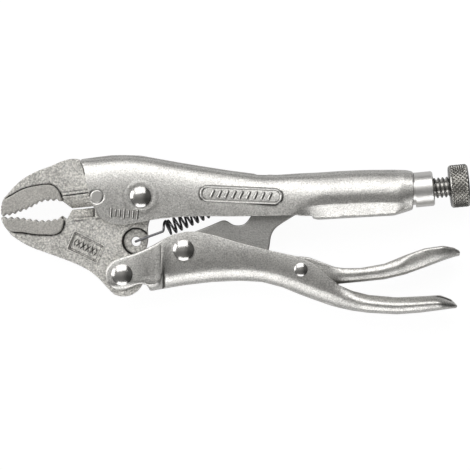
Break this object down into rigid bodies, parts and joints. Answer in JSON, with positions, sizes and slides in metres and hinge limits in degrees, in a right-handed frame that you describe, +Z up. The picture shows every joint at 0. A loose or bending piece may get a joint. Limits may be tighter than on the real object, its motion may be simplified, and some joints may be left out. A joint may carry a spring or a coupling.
{
  "type": "locking pliers",
  "caption": "Curved-jaw locking pliers with a wire cutter, toggle-linked handles, a release lever and a knurled adjusting screw, lying on their side.",
  "frame": {"origin": "centre of the bottom of the whole tool's box, with the tool lying on its side and locked shut", "axes": "+X from the jaws to the adjusting knob, +Y towards the fixed handle's back, +Z up, along every pivot"},
  "size_m": [0.1178, 0.04, 0.0114],
  "materials": {
    "plated_sheet": "satin nickel plate with a fine pebble",
    "forged_jaw": "satin nickel plate over a forged, blasted surface",
    "dark_plate": "dull grey stamped plate",
    "rivet": "polished dome",
    "bushing": "turned",
    "thread": "rolled thread",
    "knob": "diamond knurl",
    "spring": "drawn spring wire"
  },
  "bodies": {
    "fixed_handle": {"upper_handle": "plated_sheet", "upper_jaw": "forged_jaw", "upper_jaw_rivet": "rivet", "jaw_pivot_rivet": "rivet", "screw_bushing": "bushing", "jaw_spring": "spring"},
    "moving_jaw": {"lower_jaw": "forged_jaw"},
    "moving_handle": {"lower_handle": "plated_sheet", "handle_rivet": "rivet", "link_rivet": "rivet", "release_rivet": "rivet"},
    "link": {"toggle_link": "dark_plate"},
    "lever": {"release_lever": "plated_sheet"},
    "screw": {"adjusting_screw": "thread"},
    "knob": {"adjusting_knob": "knob"}
  },
  "joints": [
    {"name": "jaw_swing", "type": "hinge", "parent": "fixed_handle", "child": "moving_jaw", "pos_m": [-0.02385, 0.0095, 0.0057], "axis": [0, 0, 1], "range_deg": [0, 18], "deforming": ["jaw_spring"]},
    {"name": "handle_swing", "type": "hinge", "parent": "moving_jaw", "child": "moving_handle", "pos_m": [-0.0285, -0.01, 0.0057], "axis": [0, 0, 1], "range_deg": [-56, 0]},
    {"name": "link_swing", "type": "hinge", "parent": "moving_handle", "child": "link", "pos_m": [-0.0131, -0.00385, 0.0057], "axis": [0, 0, 1], "range_deg": [0, 59.5]},
    {"name": "release_press", "type": "hinge", "parent": "moving_handle", "child": "lever", "pos_m": [0.01625, -0.00875, 0.0057], "axis": [0, 0, 1], "range_deg": [-8, 0]},
    {"name": "screw_advance", "type": "slide", "parent": "fixed_handle", "child": "screw", "axis": [0.9956, 0.0941, 0], "range_m": [0, 0.01]},
    {"name": "knob_turn", "type": "hinge", "parent": "screw", "child": "knob", "pos_m": [0.05415, 0.01205, 0.0057], "axis": [0.9956, 0.0941, 0], "range_deg": [0, 3402]}
  ],
  "couplings": [
    {"joint": "handle_swing", "follows": "jaw_swing", "ratio": -3.077},
    {"joint": "link_swing", "follows": "jaw_swing", "ratio": 3.263},
    {"joint": "knob_turn", "follows": "screw_advance", "rad_per_m": 5936.9}
  ]
}
